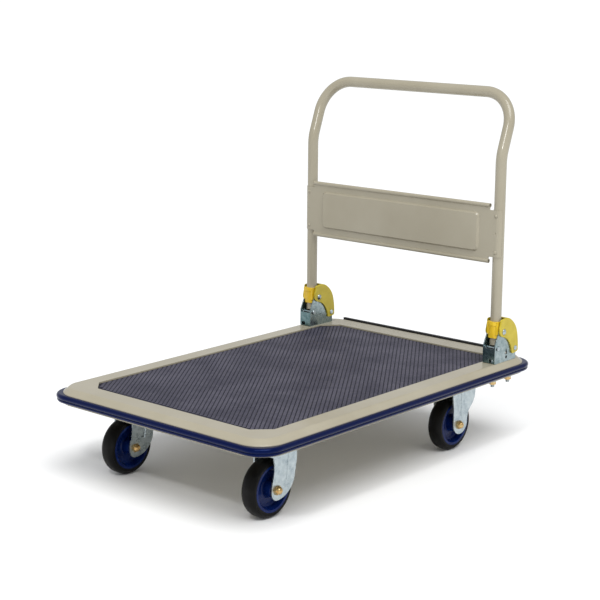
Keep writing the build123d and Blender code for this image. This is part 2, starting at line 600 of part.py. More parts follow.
def make_bracket():
    """The left bracket: floor, front web and two side plates, pressed from one sheet."""
    inner, outer = BRACKET_GAP, BRACKET_GAP + BRACKET_SHEET
    plate = bracket_plate_outline()
    front, rear = PIVOT_X + BRACKET_FRONT, PIVOT_X + BRACKET_REAR
    bracket = slab(plate, LEG_Y + inner, LEG_Y + outer) + slab(plate, LEG_Y - outer, LEG_Y - inner)
    bracket += block(rear, front, LEG_Y - outer, LEG_Y + outer, RIM_TOP, RIM_TOP + BRACKET_SHEET)
    bracket += block(front - BRACKET_SHEET, front, LEG_Y - outer, LEG_Y + outer, RIM_TOP, WEB_TOP)
    lower_front = bracket.edges().filter_by(Axis.Y).sort_by_distance((front, LEG_Y, RIM_TOP))[0]
    bracket = fillet(lower_front, 2.2)
    lock = slot_face(*LOCK_PIN, LOCK_PIN_RADIUS + CLEAR, LOCK_TRAVEL)
    arrow = make_face(Polyline(*from_pivot((-20.5, -52.0), (-10.5, -52.0), (-15.5, -38.0)),
                               close=True))
    hole = Pos(PIVOT_X - 16.0, PIVOT_Z - 58.8) * Circle(3.4)
    bracket -= block(front - 5, front + 1, LEG_Y + 1, LEG_Y + inner - 1.5,
                     RIM_TOP + BRACKET_SHEET, RIM_TOP + 10.0)
    bracket -= slab(lock, LEG_Y - outer - 1, LEG_Y + outer + 1)
    bracket -= slab(arrow, LEG_Y + inner - 1, LEG_Y + outer + 1)
    bracket -= slab(hole, LEG_Y + inner - 1, LEG_Y + outer + 1)
    bracket -= rod_y(PIVOT_X, PIVOT_Z, PIVOT_PIN_RADIUS, LEG_Y - outer - 1, LEG_Y + outer + 1)
    bead = Box(20.0, 2.4, 4.2)
    bead = fillet(bead.edges().filter_by(Axis.Y), 1.9)
    bracket += Pos(PIVOT_X - 19.5, LEG_Y - outer, PIVOT_Z - 43.5) * Rot(0, -18, 0) * bead
    for x in BOLT_X:
        bracket -= rod_z(x, BOLT_Y, 4.0, RIM_TOP - 1, RIM_TOP + BRACKET_SHEET + 1)
    return bracket


def make_pivot_pin():
    """Rivet through lever, bracket and left leg; the handle folds about it."""
    reach = BRACKET_GAP + BRACKET_SHEET + LEVER_GAP + LEVER_WALL + 0.4
    pin = rod_y(PIVOT_X, PIVOT_Z, PIVOT_PIN_RADIUS, LEG_Y - reach, LEG_Y + reach)
    for side in (-1, 1):
        head = Rot(-90 * side, 0, 0) * dome(6.5, 3.4)
        pin += Pos(PIVOT_X, LEG_Y + side * reach, PIVOT_Z) * head
    return pin


def make_lock_pin():
    """Left lock pin: crosses the bracket through its slots, in front of the leg's foot."""
    x, z = PIVOT_X + LOCK_PIN[0], PIVOT_Z + LOCK_PIN[1]
    reach = BRACKET_GAP + BRACKET_SHEET + CLEAR
    pin = rod_y(x, z, LOCK_PIN_RADIUS, LEG_Y - reach, LEG_Y + reach)
    for side in (-1, 1):
        y = LEG_Y + side * reach
        head = rod_y(x, z, LOCK_PIN_RADIUS + 1.8, y, y + side * 2.0)
        pin += chamfer(head.edges().filter_by(GeomType.CIRCLE).sort_by_distance(
            (x, LEG_Y + side * 40, z))[0], 0.8)
    return pin


def make_bracket_bolts():
    """The left bracket's two bolts, with their washers and nuts under the support channel."""
    bolts, washers, nuts = [], [], []
    top, low = RIM_TOP + BRACKET_SHEET, 150.0
    for x in BOLT_X:
        head = Pos(x, BOLT_Y, top) * hexagon_prism(13.0, 5.0)
        bolts.append(head + rod_z(x, BOLT_Y, 4.0, BOLT_TIP_Z, top + 1))
        washer = rod_z(x, BOLT_Y, 8.0, low - 1.6, low)
        washers.append(washer - rod_z(x, BOLT_Y, 4.0, low - 3, low + 1))
        nut = Pos(x, BOLT_Y, low - 1.6 - 6.5) * hexagon_prism(13.0, 6.5)
        nuts.append(nut - rod_z(x, BOLT_Y, 4.0, low - 10, low))
    return bolts, washers, nuts


# ---- lock lever --------------------------------------------------------------------------
def lever_back():
    """Points down the lever's back in side view, from the humped top to the tail."""
    return from_pivot((-10.4, 29.0), (-30.0, 22.5), (-45.5, 8.0), (-53.5, -9.5),
                      (-57.0, -28.0), (-57.8, -47.0))


def lever_outline():
    """Side view of the lever: lobe round the pivot, humped top, straight back and a tail."""
    back = lever_back()
    p = from_pivot((12.0, 22.0), (11.6, 26.4), (10.0, 28.0), (-57.2, -50.0), (-55.0, -51.5),
                   (-37.0, -54.0), (-34.6, -53.2), (-33.0, -51.0), (-25.5, -31.0),
                   (-11.5, -16.5), (0.0, -11.5), (5.0, -10.7), (9.0, -8.5), (13.5, -5.0),
                   (15.5, 0.0), (15.5, 9.0))
    edges = [
        ThreePointArc(p[0], p[1], p[2]),
        Line(p[2], back[0]),
        Spline(*back, tangents=[(-1, 0), (0, -1)]),
        ThreePointArc(back[-1], p[3], p[4]),
        Line(p[4], p[5]),
        ThreePointArc(p[5], p[6], p[7]),
        ThreePointArc(p[7], p[8], p[9]),
        Line(p[9], p[10]),
        ThreePointArc(p[10], p[11], p[12]),
        ThreePointArc(p[12], p[13], p[14]),
        Line(p[14], p[15]),
        Line(p[15], p[0])]
    return make_face(Wire(edges))


def lever_cavity():
    """Side view of what is cut out between the cheeks: all but a shell over the top and back."""
    back = lever_back()
    inside = [Vector(back[0]) - Vector(0, LEVER_WALL)]
    for before, here, after in zip(back, back[1:], back[2:]):
        along = (Vector(after) - Vector(before)).normalized()
        inside.append(Vector(here) + Vector(-along.Y, along.X) * LEVER_WALL)
    low, far = PIVOT_Z - 70.0, 45.0
    tail = PIVOT_Z + TAIL_PIN[1]
    end = (back[-1][0] + LEVER_WALL, tail)
    corners = [end, (end[0] - 2 * LEVER_WALL, tail), (end[0] - 2 * LEVER_WALL, low),
               (PIVOT_X + far, low), (PIVOT_X + far, PIVOT_Z + far),
               (inside[0].X, PIVOT_Z + far), (inside[0].X, inside[0].Y)]
    return make_face([Spline(*inside, end)] + Polyline(*corners).edges())


def make_lever():
    """Left lock lever: one moulding with a cheek each side of the bracket and a shell behind."""
    inner = BRACKET_GAP + BRACKET_SHEET + LEVER_GAP
    outer = inner + LEVER_WALL
    lever = slab(lever_outline(), LEG_Y - outer, LEG_Y + outer)
    on_face = [edge for edge in lever.edges() if abs(abs(edge.center().Y - LEG_Y) - outer) < 0.1]
    soft = [edge for edge in on_face if edge.geom_type == GeomType.BSPLINE
            or edge.center().Z > PIVOT_Z + 10 or edge.center().X < PIVOT_X - 50]
    lever = fillet(soft, 2.4)
    lever -= slab(lever_cavity(), LEG_Y - inner, LEG_Y + inner)
    lever -= rod_y(PIVOT_X, PIVOT_Z, PIVOT_PIN_RADIUS + RUNNING, LEG_Y - 30, LEG_Y + 30)
    return lever - rod_y(PIVOT_X + TAIL_PIN[0], PIVOT_Z + TAIL_PIN[1], TAIL_PIN_RADIUS,
                         LEG_Y - 30, LEG_Y + 30)


def make_tail_pin():
    """Riveted pin across the lever's tail; it rests on the bracket's rear shoulder."""
    x, z = PIVOT_X + TAIL_PIN[0], PIVOT_Z + TAIL_PIN[1]
    reach = BRACKET_GAP + BRACKET_SHEET + LEVER_GAP + LEVER_WALL
    pin = rod_y(x, z, TAIL_PIN_RADIUS, LEG_Y - reach, LEG_Y + reach)
    for side in (-1, 1):
        y = LEG_Y + side * reach
        head = rod_y(x, z, TAIL_PIN_RADIUS + 2.0, y, y + side * 1.8)
        pin += chamfer(head.edges().filter_by(GeomType.CIRCLE).sort_by_distance(
            (x, LEG_Y + side * 40, z))[0], 1.0)
    return pin


def make_collar():
    """Plastic saddle on the front of the left leg, narrow enough to fold between the plates."""
    low, high, flange = PIVOT_Z - 13.0, PIVOT_Z + 23.0, PIVOT_Z + 15.0
    half = BRACKET_GAP - CLEAR
    body = rod_z(LEG_X, LEG_Y, TUBE_RADIUS + 4.0, low, high)
    body += rod_z(LEG_X, LEG_Y, TUBE_RADIUS + 5.6, flange, high)
    body += block(LEG_X, LEG_X + TUBE_RADIUS + 2.2, LEG_Y - half, LEG_Y + half, low + 8, high)
    keep = block(LEG_X + 1.0, LEG_X + 30, LEG_Y - half, LEG_Y + half, low - 1, high + 1)
    collar = body & keep
    slope = Plane(origin=(LEG_X + TUBE_RADIUS + 6.2, LEG_Y, high), x_dir=(0, 1, 0),
                  z_dir=(1, 0, -0.09))
    collar = split(collar, slope, keep=Keep.BOTTOM)
    collar -= rod_z(LEG_X, LEG_Y, TUBE_RADIUS, low - 1, high + 1)
    return collar


def make_spring():
    """The left lever's return spring: a wire coil lying across the lever, behind the leg."""
    wire, coil, turns = 0.8, 5.0, 6
    x, z = PIVOT_X - 24.0, PIVOT_Z + 6.0
    width = turns * 2.4 * wire
    helix = Helix(pitch=2.4 * wire, height=width, radius=coil)
    start = Plane(origin=helix @ 0, z_dir=helix % 0)
    spring = sweep(start * Circle(wire), helix)
    return Pos(x, LEG_Y + width / 2, z) * Rot(90, 0, 0) * spring


# ---- assembly ----------------------------------------------------------------------------
def main():
    os.makedirs("parts", exist_ok=True)
    rear_plate_x = REAR_AXLE_X - 15
    front_places = [p for y in (FRONT_WHEEL_Y, -FRONT_WHEEL_Y) for p in caster_bolt_places(KINGPIN_X, y)]
    rear_places = [p for y in (REAR_WHEEL_Y, -REAR_WHEEL_Y) for p in caster_bolt_places(rear_plate_x, y)]
    save("deck_pan", make_pan())
    save("deck_mat", make_mat())
    save("bumper", make_bumper())
    save("rear_strip", make_rear_strip())
    save("front_cross_member", make_cross_member(KINGPIN_X, front_places))
    save("rear_cross_member", make_cross_member(rear_plate_x, rear_places))
    caster_bolts, caster_nuts = make_caster_bolts(front_places + rear_places)
    save("caster_bolts", *caster_bolts)
    save("caster_nuts", *caster_nuts)

    save("bracket_supports", *both_sides(make_bracket_support()))
    bolts, washers, nuts = make_bracket_bolts()
    for name, group in (("bracket_bolts", bolts), ("bracket_washers", washers),
                        ("bracket_nuts", nuts)):
        save(name, *[piece for left in group for piece in both_sides(left)])
    save("pivot_pins", *both_sides(make_pivot_pin()))

    save("handle_tube", make_handle_tube())
    save("handle_panel", make_panel())
    save("panel_rivets", *make_panel_rivets())
    save("leg_plugs", make_leg_plug(LEG_Y), make_leg_plug(-LEG_Y))

    for side, sign in SIDES:
        mirrored = (lambda piece: piece) if sign > 0 else (lambda piece: mirror(piece, Plane.XZ))
        save("bracket_" + side, mirrored(make_bracket()))
        save("leg_collar_" + side, mirrored(make_collar()))
        save("lock_lever_" + side, mirrored(make_lever()))
        save("lever_spring_" + side, mirrored(make_spring()))
        save("tail_pin_" + side, mirrored(make_tail_pin()))
        save("lock_pin_" + side, mirrored(make_lock_pin()))

    save("swivel_plates", make_swivel_plate(FRONT_WHEEL_Y), make_swivel_plate(-FRONT_WHEEL_Y))
    save("kingpins", make_kingpin(FRONT_WHEEL_Y), make_kingpin(-FRONT_WHEEL_Y))
    save("race_balls", *make_race_balls(FRONT_WHEEL_Y), *make_race_balls(-FRONT_WHEEL_Y))
    for side, sign in SIDES:
        front_y, rear_y = sign * FRONT_WHEEL_Y, sign * REAR_WHEEL_Y
        save("front_fork_" + side, make_swivel_fork(front_y))
        save("rear_fork_" + side, make_fixed_fork(rear_y))
        save("front_axle_bolt_" + side, make_axle_bolt(FRONT_AXLE_X, front_y))
        save("front_cap_nut_" + side, make_cap_nut(FRONT_AXLE_X, front_y))
        save("front_axle_sleeve_" + side, make_axle_sleeve(FRONT_AXLE_X, front_y))
        for end, x, y in (("front", FRONT_AXLE_X, front_y), ("rear", REAR_AXLE_X, rear_y)):
            save(end + "_hub_" + side, make_wheel_hub(x, y))
            save(end + "_tyre_" + side, make_tyre(x, y))
            save(end + "_bearings_" + side, *make_bearings(x, y))
    for name, make in (("rear_axle_bolts", make_axle_bolt), ("rear_cap_nuts", make_cap_nut),
                       ("rear_axle_sleeves", make_axle_sleeve)):
        save(name, make(REAR_AXLE_X, REAR_WHEEL_Y), make(REAR_AXLE_X, -REAR_WHEEL_Y))


main()
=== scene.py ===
import json
from math import cos, pi, radians, sin

import bpy
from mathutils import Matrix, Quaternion, Vector


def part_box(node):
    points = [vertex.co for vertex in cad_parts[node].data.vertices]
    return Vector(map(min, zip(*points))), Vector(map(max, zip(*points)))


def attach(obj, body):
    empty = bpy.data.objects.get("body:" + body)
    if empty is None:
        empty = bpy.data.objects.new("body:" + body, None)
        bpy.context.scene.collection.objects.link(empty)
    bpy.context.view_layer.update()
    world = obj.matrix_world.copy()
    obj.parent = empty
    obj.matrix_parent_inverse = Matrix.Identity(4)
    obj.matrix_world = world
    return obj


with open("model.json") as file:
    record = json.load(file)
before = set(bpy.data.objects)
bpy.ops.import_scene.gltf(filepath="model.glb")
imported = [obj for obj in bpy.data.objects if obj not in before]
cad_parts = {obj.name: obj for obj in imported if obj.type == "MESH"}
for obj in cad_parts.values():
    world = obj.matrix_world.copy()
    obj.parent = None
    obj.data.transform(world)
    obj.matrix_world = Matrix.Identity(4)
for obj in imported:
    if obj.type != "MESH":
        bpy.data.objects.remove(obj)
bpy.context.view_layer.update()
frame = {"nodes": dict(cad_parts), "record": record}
nodes = frame["nodes"]

# ---- sizes, in metres ---------------------------------------------------------------------
MM = 0.001
PIP_CELL = (14.3 * MM, 10.2 * MM)      # the mat's lozenges repeat at this pitch, along X and Y
PIP_FILL = 0.74                        # how much of its cell a lozenge's base fills
PIP_TOP = 0.44                         # and its flat top
PIP_HEIGHT = 0.9 * MM
PIP_SHOULDER = 0.35                    # of its height, where it starts to narrow
PIP_ROOT = 0.2 * MM                    # sunk into the mat
MAT_BORDER = 4.0 * MM                  # plain edge round the mat's pattern
MAT_CORNER_CUT = 33.0 * MM
LEG_Y = 261.0 * MM                     # the brackets' middle, either side of the cart
BOLT_X = (-326.0 * MM, -384.0 * MM)
BOLT_Y = 264.0 * MM
FLANGE_SHEET = 3.0 * MM                # cross members
BRACKET_INSIDE = 13.6 * MM             # just past the inner face of a bracket's side plates
WEB_X = -314.6 * MM                    # back of the brackets' front web
WEB_HALF_WIDTH = 1.1 * BRACKET_INSIDE  # the painted shade on the web ends just short of the plates' outsides
RING_SIDES = 96
TYRE_RINGS = ((50.2 * MM, 16.1 * MM), (52.6 * MM, 15.7 * MM))   # radius, and distance in Y
TYRE_RING_RISE = 0.65 * MM
TYRE_RING_HALF_WIDTH = 0.55 * MM
THREAD_RADIUS = 3.9 * MM
THREAD_RIDGE = 0.42 * MM
THREAD_PITCH = 1.25 * MM
THREAD_HALF_RIDGE = 0.42               # of the pitch
THREAD_STEPS = 24                      # to a turn
WELD_PITCH = 68.0 * MM
WELD_COUNT = 7                         # along each flange
WELD_FROM_EDGE = 7.0 * MM
WELD_SIDES = 16
WELD_SECTION = ((4.6 * MM, -0.1 * MM), (4.0 * MM, 0.35 * MM),    # radius, and depth below
                (2.9 * MM, 0.35 * MM), (2.4 * MM, 0.05 * MM))    # the flange

# ---- studio, in metres and degrees --------------------------------------------------------
FLOOR_SIZE = 120.0
WORLD_COLOR = (0.97, 0.985, 1.0, 1.0)
WORLD_STRENGTH = 0.62
LAMP_TARGET = (0.0, 0.0, 0.3)
SUN_PLACE = (1.0, 2.0, 4.2)
SUN_STRENGTH = 2.0
SUN_WIDTH = 40.0
KEY_PLACE = (2.2, 0.9, 2.2)
KEY_WATTS = 18.0
KEY_SIZE = 0.25
CAMERA_PLACE = (2.4087, 2.0861, 1.0384)
CAMERA_AZIMUTH = 220.99                # the way it looks, from +X towards +Y
CAMERA_DOWN = 12.34
CAMERA_ROLL = 0.41
LENS_MM = 93.46
SENSOR_MM = 36.0


# ---- node helpers -------------------------------------------------------------------------
class Shader:
    """A material being built: its node tree, its main shader and object-space coordinates."""

    def __init__(self, name, color, roughness, metallic=0.0):
        self.material = bpy.data.materials.new(name)
        self.material.use_nodes = True
        self.material.diffuse_color = (*color, 1.0)
        self.tree = self.material.node_tree
        self.main = self.tree.nodes["Principled BSDF"]
        self.main.inputs["Base Color"].default_value = (*color, 1.0)
        self.main.inputs["Roughness"].default_value = roughness
        self.main.inputs["Metallic"].default_value = metallic
        self.place = self.add("ShaderNodeTexCoord").outputs["Object"]

    def add(self, kind, **settings):
        """A new node, with its settings."""
        node = self.tree.nodes.new(kind)
        for key, value in settings.items():
            setattr(node, key, value)
        return node

    def link(self, source, target):
        self.tree.links.new(source, target)

    def noise(self, per_metre, detail=3.0, stretch=(1, 1, 1)):
        """Noise from 0 to 1, with so many features to the metre."""
        scaled = self.add("ShaderNodeMapping")
        scaled.inputs["Scale"].default_value = stretch
        self.link(self.place, scaled.inputs["Vector"])
        texture = self.add("ShaderNodeTexNoise")
        texture.inputs["Scale"].default_value = per_metre
        texture.inputs["Detail"].default_value = detail
        self.link(scaled.outputs["Vector"], texture.inputs["Vector"])
        return texture.outputs["Fac"]

    def cells(self, per_metre):
        """Distance from the middle of the nearest of many random cells."""
        texture = self.add("ShaderNodeTexVoronoi")
        texture.inputs["Scale"].default_value = per_metre
        self.link(self.place, texture.inputs["Vector"])
        return texture.outputs["Distance"]

    def remap(self, value, low, high, to_low, to_high):
        """Clamp a value between low and high and stretch it over another range."""
        node = self.add("ShaderNodeMapRange", clamp=True)
        for name, number in (("From Min", low), ("From Max", high),
                             ("To Min", to_low), ("To Max", to_high)):
            node.inputs[name].default_value = number
        self.link(value, node.inputs["Value"])
        return node.outputs["Result"]

    def math(self, operation, first, second=0.0):
        """A sum on two values; each is a number or another node's output."""
        node = self.add("ShaderNodeMath", operation=operation)
        for slot, value in enumerate((first, second)):
            if isinstance(value, (int, float)):
                node.inputs[slot].default_value = value
            else:
                self.link(value, node.inputs[slot])
        return node.outputs[0]

    def mix(self, factor, first, second):
        """Mix two colours; each is a colour or another node's output."""
        node = self.add("ShaderNodeMix", data_type="RGBA")
        for name, value in (("Factor", factor), ("A", first), ("B", second)):
            socket = [s for s in node.inputs if s.name == name and s.enabled][0]
            if isinstance(value, (int, float)):
                socket.default_value = value
            elif isinstance(value, tuple):
                socket.default_value = (*value, 1.0)
            else:
                self.link(value, socket)
        return [s for s in node.outputs if s.enabled][0]

    def edges(self, radius):
        """1 along sharp edges and 0 on faces: where a rounded normal leaves the true one."""
        rounded = self.add("ShaderNodeBevel", samples=4)
        rounded.inputs["Radius"].default_value = radius
        true = self.add("ShaderNodeNewGeometry")
        dot = self.add("ShaderNodeVectorMath", operation="DOT_PRODUCT")
        self.link(rounded.outputs["Normal"], dot.inputs[0])
        self.link(true.outputs["Normal"], dot.inputs[1])
        return self.remap(dot.outputs["Value"], 0.80, 0.99, 1.0, 0.0)

    def bump(self, height, strength, distance, radius=0.0):
        """Bump from a height, over edges rounded to a radius."""
        node = self.add("ShaderNodeBump")
        node.inputs["Strength"].default_value = strength
        node.inputs["Distance"].default_value = distance
        self.link(height, node.inputs["Height"])
        if radius:
            rounded = self.add("ShaderNodeBevel", samples=4)
            rounded.inputs["Radius"].default_value = radius
            self.link(rounded.outputs["Normal"], node.inputs["Normal"])
        self.link(node.outputs["Normal"], self.main.inputs["Normal"])

    def set(self, **values):
        """Fill the main shader's sockets with constants or links; returns the material."""
        for name, value in values.items():
            socket = self.main.inputs[name.replace("_", " ")]
            if isinstance(value, (int, float, tuple)):
                socket.default_value = value
            else:
                self.link(value, socket)
        return self.material


# ---- materials ----------------------------------------------------------------------------
def beige_paint():
    """Stoved gloss paint: faint orange peel, and dust that dulls it in patches."""
    s = Shader("beige_paint", (0.40, 0.365, 0.275), 0.3)
    drift = s.remap(s.noise(7.0, 4.0), 0.35, 0.65, 0.0, 1.0)
    tone = s.mix(drift, (0.335, 0.302, 0.222), (0.370, 0.337, 0.255))
    # painted highlight: paler paint along sharp edges, broken into patches by noise
    painted_edge_highlight = s.math("MULTIPLY", s.edges(0.8 * MM), s.remap(s.noise(60.0), 0.45, 0.6, 0.0, 0.5))
    color = s.mix(painted_edge_highlight, tone, (0.48, 0.44, 0.35))
    gloss = s.remap(s.noise(25.0, 5.0), 0.3, 0.7, 0.14, 0.26)
    s.bump(s.noise(420.0, 2.0), 0.06, 0.2 * MM, 0.7 * MM)
    return s.set(Base_Color=color, Roughness=gloss, Specular_IOR_Level=0.5)


def bumper_vinyl():
    """Soft glossy blue vinyl with a fine grain and scuffs; it reflects blue, as dyed vinyl."""
    s = Shader("bumper_vinyl", (0.002, 0.006, 0.050), 0.3)
    scuff = s.remap(s.noise(38.0, 6.0, (1, 1, 2.5)), 0.58, 0.78, 0.0, 0.25)
    color = s.mix(scuff, (0.0006, 0.0030, 0.034), (0.003, 0.010, 0.062))
    gloss = s.remap(s.noise(90.0, 4.0), 0.3, 0.7, 0.12, 0.22)
    s.bump(s.noise(1400.0, 2.0), 0.10, 0.15 * MM, 0.5 * MM)
    return s.set(Base_Color=color, Roughness=gloss, Specular_IOR_Level=0.27,
                 Specular_Tint=(0.22, 0.36, 0.95, 1.0))


def mat_rubber():
    """Dark rubber, dusty in the grooves and greyer where it is rubbed."""
    s = Shader("mat_rubber", (0.016, 0.016, 0.032), 0.6)
    dust = s.remap(s.noise(9.0, 6.0), 0.35, 0.7, 0.0, 1.0)
    color = s.mix(dust, (0.006, 0.006, 0.016), (0.013, 0.012, 0.025))
    s.bump(s.noise(1600.0, 3.0), 0.25, 0.2 * MM)
    return s.set(Base_Color=color, Roughness=s.remap(s.noise(60.0), 0.3, 0.7, 0.50, 0.66),
                 Specular_IOR_Level=0.2)


def pip_rubber():
    """The tops of the mat's lozenges: paler than the grooves between them."""
    s = Shader("pip_rubber", (0.11, 0.10, 0.13), 0.5)
    rubbed = s.remap(s.noise(14.0, 6.0), 0.35, 0.68, 0.0, 1.0)
    color = s.mix(rubbed, (0.046, 0.044, 0.066), (0.080, 0.076, 0.104))
    s.bump(s.noise(1600.0, 3.0), 0.25, 0.2 * MM)
    return s.set(Base_Color=color, Roughness=s.remap(s.noise(80.0), 0.3, 0.7, 0.42, 0.56),
                 Specular_IOR_Level=0.3)


def zinc_plate():
    """Bright zinc: cloudy crystals, small flakes and a cold tint."""
    low, high = (0.31, 0.37, 0.40), (0.49, 0.55, 0.57)
    s = Shader("zinc_plate", high, 0.3, 1.0)
    cloud = s.remap(s.noise(85.0, 5.0), 0.34, 0.66, 0.0, 1.0)
    flakes = s.remap(s.cells(160.0), 0.0, 0.8, 0.0, 1.0)
    tone = s.mix(cloud, low, high)
    tone = s.mix(s.math("MULTIPLY", flakes, 0.25), tone, tuple(1.1 * c for c in high))
    # painted highlight: paler zinc along every sharp edge, for the glint of a rounded edge
    color = s.mix(s.math("MULTIPLY", s.edges(0.5 * MM), 0.7), tone, (0.76, 0.79, 0.80))
    gloss = s.math("ADD", s.remap(s.noise(260.0, 4.0), 0.3, 0.7, 0.20, 0.34),
                   s.math("MULTIPLY", cloud, 0.08))
    s.bump(s.noise(700.0, 3.0), 0.12, 0.2 * MM, 0.5 * MM)
    return s.set(Base_Color=color, Roughness=gloss)


def bracket_zinc():
    """Zinc with painted shade: a dark blue-green copy of it on the bracket's front web and
    inside.
    """
    s = Shader("bracket_zinc", (0.50, 0.57, 0.60), 0.3, 1.0)
    cloud = s.remap(s.noise(110.0, 5.0), 0.34, 0.66, 0.0, 1.0)
    plate = s.mix(cloud, (0.23, 0.30, 0.31), (0.37, 0.44, 0.45))
    # painted shade: a darker copy of the plate colour, for the web and the plates' inner faces
    web = s.mix(cloud, (0.085, 0.150, 0.158), (0.180, 0.260, 0.270))
    axes = s.add("ShaderNodeSeparateXYZ")
    s.link(s.place, axes.inputs["Vector"])
    # where the painted shade goes: the plates' inner faces and the web's front face
    from_leg = s.math("SUBTRACT", s.math("ABSOLUTE", axes.outputs["Y"]), LEG_Y)
    across = s.math("ABSOLUTE", from_leg)
    inside = s.remap(across, BRACKET_INSIDE, BRACKET_INSIDE + 0.4 * MM, 1.0, 0.0)
    face = s.math("MULTIPLY", s.remap(axes.outputs["X"], WEB_X - 0.4 * MM, WEB_X, 0.0, 1.0),
                  s.remap(across, WEB_HALF_WIDTH, WEB_HALF_WIDTH + 0.4 * MM, 1.0, 0.0))
    color = s.mix(s.math("MAXIMUM", inside, face), plate, web)
    # painted highlight: paler zinc along every sharp edge, for the glint of a rounded edge
    color = s.mix(s.math("MULTIPLY", s.edges(0.5 * MM), 0.7), color, (0.80, 0.84, 0.86))
    s.bump(s.noise(700.0, 3.0), 0.12, 0.2 * MM, 0.5 * MM)
    return s.set(Base_Color=color, Roughness=s.remap(s.noise(260.0, 4.0), 0.3, 0.7, 0.22, 0.38))


def yellow_zinc():
    """Yellow-passivated zinc with a faint rainbow drift."""
    s = Shader("yellow_zinc", (0.60, 0.40, 0.15), 0.3, 1.0)
    drift = s.remap(s.noise(180.0, 4.0), 0.35, 0.65, 0.0, 1.0)
    color = s.mix(drift, (0.52, 0.30, 0.11), (0.66, 0.50, 0.24))
    gloss = s.remap(s.noise(320.0), 0.3, 0.7, 0.20, 0.34)
    s.bump(s.noise(900.0, 2.0), 0.1, 0.2 * MM, 0.4 * MM)
    return s.set(Base_Color=color, Roughness=gloss)


def moulded_plastic(name, dark, light, roughness, shine=0.4):
    """Moulded plastic: slight colour drift, fine eggshell grain and soft edges."""
    s = Shader(name, dark, roughness)
    drift = s.remap(s.noise(45.0, 4.0), 0.35, 0.65, 0.0, 1.0)
    color = s.mix(drift, dark, light)
    gloss = s.remap(s.noise(140.0, 4.0), 0.3, 0.7, roughness - 0.06, roughness + 0.08)
    s.bump(s.noise(1300.0, 2.0), 0.10, 0.2 * MM, 0.5 * MM)
    return s.set(Base_Color=color, Roughness=gloss, Specular_IOR_Level=shine)


def tyre_rubber():
    """Black tyre rubber with moulding bloom and dust on its tread."""
    s = Shader("tyre_rubber", (0.005, 0.005, 0.005), 0.5)
    bloom = s.remap(s.noise(40.0, 6.0), 0.48, 0.75, 0.0, 0.6)
    color = s.mix(bloom, (0.0035, 0.0034, 0.0032), (0.012, 0.012, 0.012))
    gloss = s.remap(s.noise(120.0, 4.0), 0.3, 0.7, 0.34, 0.50)
    s.bump(s.noise(900.0, 4.0), 0.2, 0.25 * MM)
    return s.set(Base_Color=color, Roughness=gloss, Specular_IOR_Level=0.12)


def ground_steel():
    """Ground steel of balls, bearings and springs."""
    s = Shader("ground_steel", (0.6, 0.6, 0.6), 0.22, 1.0)
    lines = s.noise(300.0, 3.0, (1, 12, 1))
    s.bump(lines, 0.08, 0.1 * MM, 0.3 * MM)
    return s.set(Base_Color=s.mix(lines, (0.52, 0.52, 0.53), (0.70, 0.70, 0.71)),
                 Roughness=s.remap(lines, 0.3, 0.7, 0.16, 0.3))


def studio_floor():
    """Matt near-white paper with a very slight drift."""
    s = Shader("studio_floor", (0.93, 0.93, 0.93), 0.9)
    color = s.mix(s.noise(1.5, 3.0), (0.92, 0.92, 0.92), (0.94, 0.94, 0.94))
    return s.set(Base_Color=color, Specular_IOR_Level=0.0)


def dress_nodes():
    """Give every CAD node the material of its slot in the record; returns them by slot."""
    materials = {
        "painted_steel": beige_paint(),
        "bumper": bumper_vinyl(),
        "mat": mat_rubber(),
        "zinc_steel": zinc_plate(),
        "yellow_zinc": yellow_zinc(),
        "lever_plastic": moulded_plastic("lever_yellow", (0.47, 0.37, 0.017),
                                         (0.55, 0.44, 0.030), 0.34),
        "collar_plastic": moulded_plastic("collar_yellow", (0.70, 0.45, 0.015),
                                          (0.78, 0.53, 0.025), 0.36),
        "hub_plastic": moulded_plastic("hub_blue", (0.002, 0.009, 0.070),
                                       (0.003, 0.017, 0.110), 0.24, 0.16),
        "tyre": tyre_rubber(),
        "bearing_steel": ground_steel(),
        "black_plastic": moulded_plastic("black_plastic", (0.012, 0.012, 0.013),
                                         (0.020, 0.020, 0.021), 0.45),
    }
    for part in frame["record"]["subparts"]:
        mesh = nodes[part["node"]].data
        mesh.materials.clear()
        mesh.materials.append(materials[part["material_slot"]])
    plated = bracket_zinc()
    for side in ("left", "right"):
        nodes["bracket_" + side].data.materials[0] = plated
    return materials


# ---- pieces -------------------------------------------------------------------------------
def new_piece(name, body, points, faces, material):
    """A mesh piece that rides on a body."""
    mesh = bpy.data.meshes.new(name)
    mesh.from_pydata(points, [], faces)
    mesh.materials.append(material)
    piece = bpy.data.objects.new(name, mesh)
    bpy.context.scene.collection.objects.link(piece)
    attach(piece, body)
    return piece


def on_mat(x, y, low, high):
    """True inside the mat's cropped rectangle, less its plain border."""
    from_x = min(x - low[0], high[0] - x) - MAT_BORDER
    from_y = min(y - low[1], high[1] - y) - MAT_BORDER
    return from_x > 0 and from_y > 0 and from_x + from_y > MAT_CORNER_CUT


def mat_pips():
    """The mat's moulded pattern: low lozenges in staggered rows."""
    low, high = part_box("deck_mat")
    step_x, step_y = PIP_CELL[0] / 2, PIP_CELL[1] / 2
    rings = ((PIP_FILL, high[2] - PIP_ROOT), (PIP_FILL, high[2] + PIP_SHOULDER * PIP_HEIGHT),
             (PIP_TOP, high[2] + PIP_HEIGHT))
    points, faces = [], []
    for row in range(int((high[0] - low[0]) / step_x)):
        x = low[0] + row * step_x
        for column in range(row % 2, int((high[1] - low[1]) / step_y), 2):
            y = low[1] + column * step_y
            if not on_mat(x, y, low, high):
                continue
            start = len(points)
            for fill, z in rings:
                a, b = fill * step_x, fill * step_y
                points += [(x + a, y, z), (x, y + b, z), (x - a, y, z), (x, y - b, z)]
            for ring in (0, 4):
                for i in range(4):
                    j = (i + 1) % 4
                    faces.append((start + ring + i, start + ring + j,
                                  start + ring + 4 + j, start + ring + 4 + i))
            faces.append((start + 8, start + 9, start + 10, start + 11))
    new_piece("mat_pips", "chassis", points, faces, pip_rubber())


